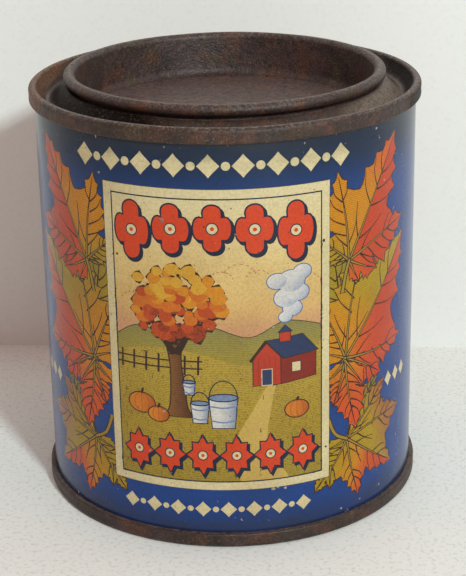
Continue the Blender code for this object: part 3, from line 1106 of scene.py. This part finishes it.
def print_plan(colours):
    """All the ink fields of one half of the wall, in printing order."""
    blue, cream, navy = (tuple(c) for c in (colours.blue, colours.cream, colours.navy))
    # Damp has darkened the ground under the top seam
    damp, wet = linear("#05294F"), linear("#06203C")
    tones = [(0.0, linear("#1A3261")), (0.08, blue), (0.83, blue), (0.93, damp), (1.0, wet)]
    ground = ((0, SHEET_BOTTOM), (0, SHEET_TOP), tones)
    fields = [fill(box(-HALF_TURN, SHEET_BOTTOM, HALF_TURN, SHEET_TOP), ground)]
    spray = leaf_spray(colours)
    fields += spray + mirrored(spray, -0.4)
    fields.append(fill(box(-22.3, 12.2, 22.2, 73.1), cream, dots=0.10))
    fields += picture(colours)
    left, bottom, right, top = PICTURE
    # What runs out of the picture is covered by its frame
    edge = [(-22.3, 12.2), (22.2, 12.2), (22.2, 73.1), (-22.3, 73.1), (-22.3, 12.2)]
    hole = [(left, bottom), (left, top), (right, top), (right, bottom), (left, bottom)]
    fields.append(fill(edge + hole, cream, dots=0.10, cut=False))
    fields.append(stroke(box(left, bottom, right, top), 0.38, navy, closed=True))
    fields.append(stroke(box(-22.3, 12.2, 22.2, 73.1), 0.14, linear("#4A4030"), closed=True))
    fields += ornaments(colours)
    draw = random.Random(17)
    for u, z, size in CHIPS:
        outline = ring_of(
            (u, z), (size, size * 0.7), 9, shape=lambda b: 0.7 + 0.3 * math.sin(b * 0.05 + u) ** 2
        )
        fields.append(fill(outline, linear("#CFC9BC"), bare=0.5))
    for u, z, size in SPECKS:
        outline = ring_of((u, z), (size, size), 8, shape=lambda b: 0.75 + draw.uniform(0, 0.25))
        fields.append(fill(outline, linear("#3A2416")))
    return fields


# Meshes


def add_mesh(name, points, faces, finish=None):
    mesh = bpy.data.meshes.new(name)
    mesh.from_pydata([tuple(point) for point in points], [], faces)
    if finish:
        mesh.materials.append(finish)
    obj = bpy.data.objects.new(name, mesh)
    bpy.context.scene.collection.objects.link(obj)
    return obj


def rim_of(faces):
    """The numbers of the points along a flat sheet's edge, in order."""
    sides = np.concatenate([faces[:, [0, 1]], faces[:, [1, 2]], faces[:, [2, 0]]])
    held = set(map(tuple, sides.tolist()))
    follows = {a: b for a, b in held if (b, a) not in held}
    start = next(iter(follows))
    rim = [start]
    while follows[rim[-1]] != start:
        rim.append(follows[rim[-1]])
    return rim


def sheet_piece(name, plan, turn, tree, finish, sizes):
    """One half of the wall: the printed sheet with its thickness, rolled and shaded round."""
    places, faces, inks, litho = plan
    rim = rim_of(faces)
    radius, wall = sizes.can_radius, sizes.wall
    points = [(u * MM, 0.0, z * MM) for u, z in places]
    back = {}
    for index in rim:
        back[index] = len(points)
        points.append((places[index][0] * MM, wall, places[index][1] * MM))
    count = len(faces)
    all_faces = faces.tolist()
    for a, b in zip(rim, rim[1:] + rim[:1]):
        all_faces.append([b, a, back[a], back[b]])
    # The back's strips, each between two columns of the lattice
    by_side = {}
    for side, value, axis in (
        ("low", SHEET_BOTTOM, 1), ("high", SHEET_TOP, 1), ("left", -HALF_TURN, 0), ("right", HALF_TURN, 0)
    ):
        chosen = [k for k in rim if abs(places[k][axis] - value) < 1e-3]
        by_side[side] = sorted(chosen, key=lambda k: places[k][1 - axis])
    lines = np.linspace(-HALF_TURN, HALF_TURN, COLUMNS + 1)
    for column, (start, end) in enumerate(zip(lines, lines[1:])):
        strip = [k for k in by_side["low"] if start - 1e-3 <= places[k][0] <= end + 1e-3]
        if column == COLUMNS - 1:
            strip += by_side["right"][1:-1]
        strip += [k for k in by_side["high"] if start - 1e-3 <= places[k][0] <= end + 1e-3][::-1]
        if column == 0:
            strip += by_side["left"][1:-1][::-1]
        all_faces.append([back[k] for k in strip][::-1])
    obj = add_mesh(name, points, all_faces)
    mesh = obj.data
    corners = len(mesh.loops)
    front = count * 3
    for title, values in (("ink", inks), ("litho", litho)):
        layer = mesh.color_attributes.new(title, "FLOAT_COLOR", "CORNER")
        colours = np.tile((0.35, 0.32, 0.29, 1.0) if title == "ink" else (0.0, 0.0, 1.0, 1.0), (corners, 1))
        colours[:front, :3] = values
        layer.data.foreach_set("color", colours.astype(np.float32).ravel())
    # The sheet's own map in millimetres, and an unrolled map that fills the whole image square
    where = np.empty(corners, int)
    mesh.loops.foreach_get("vertex_index", where)
    flat = np.array(points)[where][:, [0, 2]] / MM
    sheet_map = mesh.uv_layers.new(name="sheet")
    sheet_map.uv.foreach_set("vector", flat.astype(np.float32).ravel())
    share = (flat - (-HALF_TURN, SHEET_BOTTOM)) / (2 * HALF_TURN, SHEET_TOP - SHEET_BOTTOM)
    unrolled = share * (0.99, 0.93) + (0.005, 0.065)
    unrolled[front:] = share[front:] * (0.99, 0.05) + (0.005, 0.005)
    bake_map = mesh.uv_layers.new(name="OFBake")
    bake_map.uv.foreach_set("vector", unrolled.astype(np.float32).ravel())
    shaped_by(obj, tree, {"Can radius": radius, "Turn": turn, "Finish": finish})
    mesh = obj.data
    mesh.shade_smooth()
    # Every corner of the outer and inner faces points straight out from, or in to, the axis
    count_back = COLUMNS
    normals = []
    polygons = mesh.polygons
    for polygon in polygons:
        outer, inner = polygon.index < count, polygon.index >= len(polygons) - count_back
        for k in polygon.vertices:
            if outer or inner:
                x, y, _ = mesh.vertices[k].co
                size = math.hypot(x, y) * (1 if outer else -1)
                normals.append((x / size, y / size, 0.0))
            else:
                normals.append(tuple(polygon.normal))
    mesh.normals_split_custom_set(normals)
    return obj


def arc(centre, radii, start, end, steps):
    """Points of an elliptical arc in the (radius, height) plane, angles in degrees."""
    return [
        (
            centre[0] + radii[0] * math.cos(math.radians(start + (end - start) * k / steps)),
            centre[1] + radii[1] * math.sin(math.radians(start + (end - start) * k / steps)),
        )
        for k in range(steps + 1)
    ]


def turned(name, profile, finish, sizes, closed=False, dent=1.0):
    """A piece turned from a (radius, height) profile in millimetres."""
    path_radius = 20 * MM
    points = [(radius * MM - path_radius, -height * MM, 0.0) for radius, height in profile]
    edges = [(k, k + 1) for k in range(len(points) - 1)]
    if closed:
        edges.append((len(points) - 1, 0))
    mesh = bpy.data.meshes.new(name)
    mesh.from_pydata(points, edges, [])
    obj = bpy.data.objects.new(name, mesh)
    bpy.context.scene.collection.objects.link(obj)
    tree = bpy.data.node_groups.get("Turn a profile") or turning_tree()
    values = {"Segments": sizes.segments, "Path radius": path_radius, "Dent": sizes.dent * 2 * dent}
    values.update({"Dent size": 16 * MM, "Seed": 4, "Finish": finish})
    shaped_by(obj, tree, values)
    shape = bmesh.new()
    shape.from_mesh(obj.data)
    bmesh.ops.remove_doubles(shape, verts=shape.verts, dist=0.002 * MM)
    bmesh.ops.recalc_face_normals(shape, faces=shape.faces)
    if shape.calc_volume(signed=True) < 0:
        bmesh.ops.reverse_faces(shape, faces=shape.faces)
    shape.to_mesh(obj.data)
    shape.free()
    obj.data.shade_smooth()
    obj.data.set_sharp_from_angle(angle=math.radians(42))
    return obj


def finished_piece(obj, slot, *nodes):
    """Puts a piece on the can's body and has it stand for its nodes; slot is not used."""
    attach(obj, BODY)
    if nodes:
        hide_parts(*nodes)
    return obj


def seam_profile(crest, outward, sizes, slot_outer):
    """The double seam from its free edge, round the crest, to the wall behind it (mm)."""
    radius, tall = sizes.seam_radius / MM, sizes.seam_height / MM
    inner, outer_round, inner_round = radius - 1.7, 0.90, 0.62
    free, side = crest - outward * tall, crest - outward * outer_round
    points = [(slot_outer, free)]
    points += arc((radius - 0.40, free + outward * 0.40), (0.40, outward * 0.40), -90, 0, 4)
    # The seaming rolls leave the lip's outside slightly hollow
    for share in (0.25, 0.5, 0.75):
        points.append(
            (radius - 0.05 * math.sin(math.pi * share), free + outward * (0.4 + (tall - 1.3) * share))
        )
    points += arc((radius - outer_round, side), (outer_round, outward * outer_round), 0, 90, 8)
    side = crest - outward * inner_round
    points += arc((inner + inner_round, side), (inner_round, outward * inner_round), 90, 180, 6)
    return points


# Operators


class TinOperator:
    bl_options = {"REGISTER", "UNDO"}

    def tin(self, context):
        return context.scene.tin_sizes, context.scene.tin_colours


class TIN_OT_printed_wall(TinOperator, bpy.types.Operator):
    """Cut the flat printed sheet along its inks and roll it into the two halves of the wall"""

    bl_idname = "tin.printed_wall"
    bl_label = "Printed wall"

    def execute(self, context):
        sizes, colours = self.tin(context)
        finish = lithographed_tinplate(colours)
        tree = rolling_tree()
        fields = print_plan(colours)
        bare = tuple(colours.old_tin)
        margin = (-HALF_TURN, SHEET_BOTTOM, -HALF_TURN + BARE_MARGIN, SHEET_TOP)
        front = cut_sheet(fields + [fill(box(*margin), bare, bare=1.0)])
        margin = (HALF_TURN - BARE_MARGIN, SHEET_BOTTOM, HALF_TURN, SHEET_TOP)
        back = cut_sheet(fields + [fill(box(*margin), bare, bare=1.0)])
        piece = sheet_piece("wall_front", front, 0.0, tree, finish, sizes)
        finished_piece(piece, "printed_wall", "tin_body")
        piece = sheet_piece("wall_back", back, math.pi, tree, finish, sizes)
        finished_piece(piece, "printed_wall", "tin_body")
        return {"FINISHED"}


class TIN_OT_side_seam(TinOperator, bpy.types.Operator):
    """Make the locked and soldered side seam on the can's left"""

    bl_idname = "tin.side_seam"
    bl_label = "Side seam"

    def execute(self, context):
        sizes, colours = self.tin(context)
        radius = sizes.can_radius / MM
        half, low, high = 2.3, 3.05, 81.65
        section = [
            (-half, -0.06), (-half, 0.10), (-half + 0.35, 0.26), (0.9, 0.28), (1.25, 0.16),
            (half - 0.2, 0.14), (half, 0.02), (half, -0.06)
        ]
        levels = [low + (high - low) * k / 60 for k in range(61)]
        points, faces = [], []
        for z in levels:
            for across, rise in section:
                wobble = 0.05 * math.sin(z * 1.7 + across) + 0.04 * math.sin(z * 0.63)
                bearing = (across + wobble) / radius
                reach = radius + rise
                points.append((-reach * math.cos(bearing) * MM, -reach * math.sin(bearing) * MM, z * MM))
        count = len(section)
        for row in range(len(levels) - 1):
            for k in range(count):
                a, b = row * count + k, row * count + (k + 1) % count
                faces.append([a, b, b + count, a + count])
        faces.append(list(range(count))[::-1])
        faces.append([(len(levels) - 1) * count + k for k in range(count)])
        finish = rusted_tinplate(
            "soldered_side_seam", linear("#8B7D70"), linear("#A59C92"), (0.0, 1.0), 31.0, metallic=0.6
        )
        obj = add_mesh("side_seam", points, faces, finish)
        shape = bmesh.new()
        shape.from_mesh(obj.data)
        bmesh.ops.recalc_face_normals(shape, faces=shape.faces)
        shape.to_mesh(obj.data)
        shape.free()
        obj.data.shade_smooth()
        obj.data.set_sharp_from_angle(angle=math.radians(50))
        finished_piece(obj, "base_metal")
        return {"FINISHED"}


class TIN_OT_seamed_ends(TinOperator, bpy.types.Operator):
    """Turn the top ring and the bottom end, each double-seamed to the wall"""

    bl_idname = "tin.seamed_ends"
    bl_label = "Seamed ends"

    def execute(self, context):
        sizes, colours = self.tin(context)
        crest, tall = sizes.can_height / MM, sizes.seam_height / MM
        slot_outer, slot_inner, slot_depth = 38.06, 37.4, 1.3
        rust, bright = tuple(colours.rust), tuple(colours.old_tin)
        # Top ring: its wall slopes down behind the seam, and it rises to a shoulder round the lid
        slot_end = crest - tall + slot_depth
        profile = [(slot_outer, slot_end)] + seam_profile(crest, 1, sizes, slot_outer)
        dip, dip_height = 35.3, crest - 3.0
        profile += arc((dip, dip_height + 0.6), (0.7, 0.6), -30, -90, 5)
        shoulder, shoulder_height, bore = 31.45, crest - 0.3, 30.35
        for k in range(1, 16):
            share = k / 16
            ease = share * share * (3 - 2 * share)
            profile.append(
                (dip + (shoulder - dip) * share, dip_height + (shoulder_height - dip_height) * ease)
            )
        profile += arc((shoulder, shoulder_height - 0.9), (shoulder - bore, 0.9), 90, 180, 7)
        under = dip_height - 0.6
        profile += [(bore, under), (slot_inner, under), (slot_inner, slot_end)]
        anywhere = (crest + 9, crest)
        painted_light_patches = [
            # Painted shadow in the trough at the front left, where the lid shades it
            (linear("#0A0807"), (-0.80, -0.60), (24, 28.5), (35.2, 34.2), anywhere, 0.95),
            # Orange rust on the slope behind the seam at the left, painted paler where the lamp lights that
            # slope
            (linear("#8E5C3A"), (-1, 0), (33, 35.5), (35.8, 36.3), anywhere, 0.50),
            # Painted shade on the wall behind the seam at the right, where the seam shades it from the lamp
            (linear("#120D0C"), (1, 0.1), (33, 35), (35.6, 36.2), (crest - 0.1, crest - 0.6), 0.85),
            # Painted light: the rise at the right is painted pale tan where the lamp falls on it
            (linear("#8F7C6C"), (0.94, -0.34), (29, 32), (35.2, 34.4), anywhere, 0.60),
        ]
        finish = rusted_tinplate("rusted_top_ring", rust, bright, (crest - 0.5, crest), painted_light_patches=painted_light_patches)
        ring = turned("seamed_ring", profile, finish, sizes, closed=True)
        finished_piece(ring, "ring_metal", "top_ring")
        # Bottom end: its seam is the foot, and its panel is pressed in with two shallow steps
        profile = [
            (0.0, 3.2), (slot_inner, 3.2), (slot_inner, tall - slot_depth), (slot_outer, tall - slot_depth)
        ]
        profile += seam_profile(0.0, -1, sizes, slot_outer)
        profile += arc((36.35, 2.0), (0.6, 0.6), 0, 90, 5)
        profile += [
            (33.6, 2.6), (33.2, 2.35), (31.4, 2.35), (31.0, 2.6), (14.4, 2.6), (14.0, 2.42), (12.6, 2.42),
            (12.2, 2.6), (0.0, 2.6)
        ]
        finish = rusted_tinplate(
            "rusted_bottom_end", tuple(c * 0.8 for c in rust), bright, (0.7, 0.0), 47.0
        )
        base = turned("seamed_base", profile, finish, sizes, dent=0.0)
        finished_piece(base, "base_metal", "bottom_end")
        return {"FINISHED"}


class TIN_OT_lever_lid(TinOperator, bpy.types.Operator):
    """Turn the press-in lid with its deep well and rolled rim"""

    bl_idname = "tin.lever_lid"
    bl_label = "Lever lid"

    def execute(self, context):
        sizes, colours = self.tin(context)
        top, outer = sizes.lid_height / MM, sizes.lid_radius / MM
        floor = top - sizes.well_depth / MM
        well, well_floor, fillet, plug, sheet = 29.7, 29.15, 2.0, 30.05, 0.5
        curl, half = (outer + well) / 2, 1.12
        profile = [(0.0, floor + 0.12), (9.0, floor + 0.10), (18.0, floor + 0.03), (24.0, floor)]
        profile += [(well_floor - fillet, floor)]
        profile += arc((well_floor - fillet, floor + fillet), (fillet, fillet), -75, 0, 6)
        profile += [(well_floor + 0.25, floor + 4.4)]
        profile += arc((curl, top - half), (curl - well, half), 180, -75, 26)
        profile += [(plug, top - 2 * half)]
        profile += [(plug, floor + sheet), (plug - fillet, floor - sheet), (0.0, floor - sheet)]
        finish = rusted_tinplate(
            "rusted_lid", tuple(colours.lid_rust), tuple(colours.old_tin), (top - 1.1, top), 83.0, rub=0.35
        )
        lid = turned("dished_lid", profile, finish, sizes)
        finished_piece(lid, "lid_metal", "lid")
        return {"FINISHED"}


class TIN_OT_stage(TinOperator, bpy.types.Operator):
    """Set the white table and backdrop, the room, the lamp and the camera"""

    bl_idname = "tin.stage"
    bl_label = "Stage"

    def execute(self, context):
        _, colours = self.tin(context)
        scene = context.scene
        table = self.matt_sheet("flecked_laminate", tuple(colours.table), 0.30)
        self.panel("table", (0, 1, 0), (0, 0, 0), table)
        card = self.matt_sheet("matt_card", tuple(colours.backdrop), 0.06)
        self.panel("backdrop", (0, 0, 1), (0, 62.6 * MM, 0), card)
        self.room(scene)
        self.lamp()
        scene.view_settings.view_transform = "Standard"
        scene.view_settings.look = "None"
        self.camera(scene)
        return {"FINISHED"}

    def panel(self, name, away, place, finish):
        """A large flat panel: the table reaches to all sides, and the backdrop stands up from it."""
        half, reach = 3.0, -3.0 if away[1] else 0.0
        corners = [(-half, reach), (half, reach), (half, half), (-half, half)]
        points = [
            Vector(place) + Vector((across, share * away[1], share * away[2])) for across, share in corners
        ]
        add_mesh(name, points, [[0, 1, 2, 3]], finish)

    def room(self, scene):
        """A dim, warm room, brighter overhead and behind the backdrop."""
        scene.world = bpy.data.worlds.new("room")
        scene.world.use_nodes = True
        tree = scene.world.node_tree
        background = tree.nodes["Background"]
        background.inputs["Color"].default_value = (*linear("#FFDFD8"), 1.0)
        toward = node(tree, "ShaderNodeSeparateXYZ", {"Vector": node(tree, "ShaderNodeTexCoord")}).outputs
        up = {"Value": toward["Z"], "From Min": 0.1, "From Max": 0.9, "To Min": 0.37, "To Max": 0.58}
        behind = {"Value": toward["Y"], "From Min": 0.1, "From Max": 0.5, "To Max": 0.5}
        lift = {0: node(tree, "ShaderNodeMapRange", up), 1: node(tree, "ShaderNodeMapRange", behind)}
        strength = node(tree, "ShaderNodeMath", lift, operation="ADD")
        tree.links.new(strength.outputs["Value"], background.inputs["Strength"])

    def matt_sheet(self, name, tint, fleck):
        """Matt white sheet with a fine grey fleck, which can be looked through from behind."""
        made, tree, shader = new_finish(name)
        flecks = blotches(tree, millimetres(tree), 0.9, 0.52, 0.72, fleck, 2.0)
        shade = painted(tree, tint, [(flecks, linear("#8F8A82"), "MIX")])
        tree.links.new(shade.outputs[2], shader.inputs["Base Color"])
        shader.inputs["Roughness"].default_value = 0.62
        back = node(tree, "ShaderNodeNewGeometry").outputs["Backfacing"]
        layers = {"Fac": back, 1: shader, 2: node(tree, "ShaderNodeBsdfTransparent")}
        shown = node(tree, "ShaderNodeMixShader", layers)
        tree.links.new(shown.outputs["Shader"], tree.nodes["Material Output"].inputs["Surface"])
        return made

    def lamp(self):
        """The lamp to the right of the camera, whose shadow falls back and to the left."""
        data = bpy.data.lights.new("lamp", "AREA")
        data.size = 0.10
        data.energy = 10.6
        data.color = linear("#ECFFFF")
        lamp = bpy.data.objects.new("lamp", data)
        lamp.location = (0.480, -0.922, 0.645)
        aim = Vector((0, 0, 45 * MM)) - lamp.location
        lamp.rotation_euler = aim.to_track_quat("-Z", "Y").to_euler()
        bpy.context.scene.collection.objects.link(lamp)

    def camera(self, scene):
        """The photograph's view: about 35 cm off, 21 degrees above level, a little to the right."""
        azimuth, elevation, roll, yaw = (math.radians(v) for v in (3.6, 20.87, -1.15, 0.14))
        distance, aim = 347.7 * MM, Vector((0, 0, 39.6 * MM))
        back = Vector(
            (
                math.sin(azimuth) * math.cos(elevation), -math.cos(azimuth) * math.cos(elevation),
                math.sin(elevation)
            )
        )
        forward = -back
        right = forward.cross(Vector((0, 0, 1))).normalized()
        up = right.cross(forward)
        forward, right = (
            forward * math.cos(yaw) + right * math.sin(yaw),
            right * math.cos(yaw) - forward * math.sin(yaw),
        )
        right, up = right * math.cos(
            roll
        ) + up * math.sin(roll), up * math.cos(roll) - right * math.sin(roll)
        turn = Matrix((right, up, -forward)).transposed()
        data = bpy.data.cameras.new("camera")
        data.sensor_width = 36.0
        data.lens = 103.94
        data.clip_start = 0.01
        camera = bpy.data.objects.new("camera", data)
        camera.matrix_world = Matrix.Translation(aim + back * distance) @ turn.to_4x4()
        scene.collection.objects.link(camera)
        scene.camera = camera


class TIN_PT_panel(bpy.types.Panel):
    """Lists the tin's pieces, sizes and colours"""

    bl_idname = "TIN_PT_panel"
    bl_label = "Tin"
    bl_space_type = "VIEW_3D"
    bl_region_type = "UI"
    bl_category = "Tin"

    def draw(self, context):
        for piece in PIECES:
            self.layout.operator(piece.bl_idname)
        for group in (context.scene.tin_sizes, context.scene.tin_colours):
            for name in group.__annotations__:
                self.layout.prop(group, name)


PIECES = (
    TIN_OT_stage,
    TIN_OT_printed_wall,
    TIN_OT_side_seam,
    TIN_OT_seamed_ends,
    TIN_OT_lever_lid,
)
CLASSES = (TinSizes, TinColours, *PIECES, TIN_PT_panel)


def register():
    for item in CLASSES:
        bpy.utils.register_class(item)
    bpy.types.Scene.tin_sizes = bpy.props.PointerProperty(type=TinSizes)
    bpy.types.Scene.tin_colours = bpy.props.PointerProperty(type=TinColours)


def unregister():
    del bpy.types.Scene.tin_colours
    del bpy.types.Scene.tin_sizes
    for item in reversed(CLASSES):
        bpy.utils.unregister_class(item)


def main():
    register()
    bpy.ops.tin.stage()
    bpy.ops.tin.printed_wall()
    bpy.ops.tin.side_seam()
    bpy.ops.tin.seamed_ends()
    bpy.ops.tin.lever_lid()
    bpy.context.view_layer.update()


if __name__ == "__main__":
    main()
